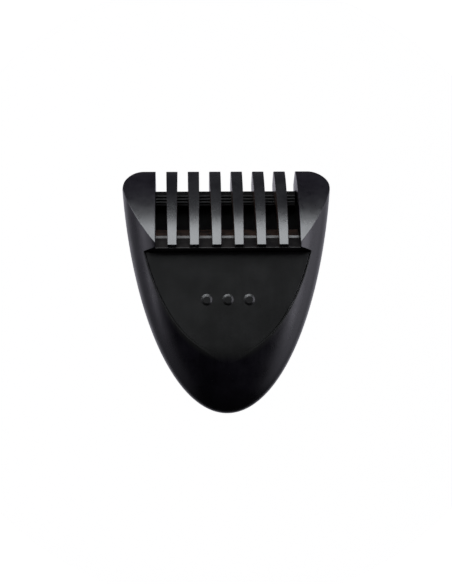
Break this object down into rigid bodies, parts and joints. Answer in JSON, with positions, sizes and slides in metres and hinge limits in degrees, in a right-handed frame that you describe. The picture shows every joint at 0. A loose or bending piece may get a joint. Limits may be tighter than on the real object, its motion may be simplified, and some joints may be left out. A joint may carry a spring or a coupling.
{
  "type": "clipper guard comb",
  "caption": "Shield-shaped clip-on guard comb: arched teeth between broad cheeks, ribbed rear bar, flat front panel with three raised pips, and two snap arms inside.",
  "frame": {"origin": "middle of the back plane that the guard lies on", "axes": "+Z out of the front face, +Y towards the tooth tips, +X to the right as the front is seen"},
  "size_m": [0.0318, 0.0374, 0.0151],
  "materials": {
    "shell_plastic": "black moulded plastic, satin",
    "panel_plastic": "black moulded plastic, fine matt texture",
    "inner_plastic": "black moulded plastic, plain"
  },
  "bodies": {
    "guard": {"shell": "shell_plastic", "size_panel": "panel_plastic", "root_rail": "inner_plastic", "rear_bridge": "inner_plastic", "tooth_1": "shell_plastic", "tooth_2": "shell_plastic", "tooth_3": "shell_plastic", "tooth_4": "shell_plastic", "tooth_5": "shell_plastic", "tooth_6": "shell_plastic"},
    "left_arm": {"snap_arm_left": "inner_plastic"},
    "right_arm": {"snap_arm_right": "inner_plastic"}
  },
  "joints": [
    {"name": "left_arm_flex", "type": "hinge", "parent": "guard", "child": "left_arm", "pos_m": [-0.0109, 0.003, 0.0041], "axis": [0, 0, -1], "range_deg": [0, 4], "stiffness_Nm_per_rad": 0.05},
    {"name": "right_arm_flex", "type": "hinge", "parent": "guard", "child": "right_arm", "pos_m": [0.0109, 0.003, 0.0041], "axis": [0, 0, 1], "range_deg": [0, 4], "stiffness_Nm_per_rad": 0.05}
  ]
}
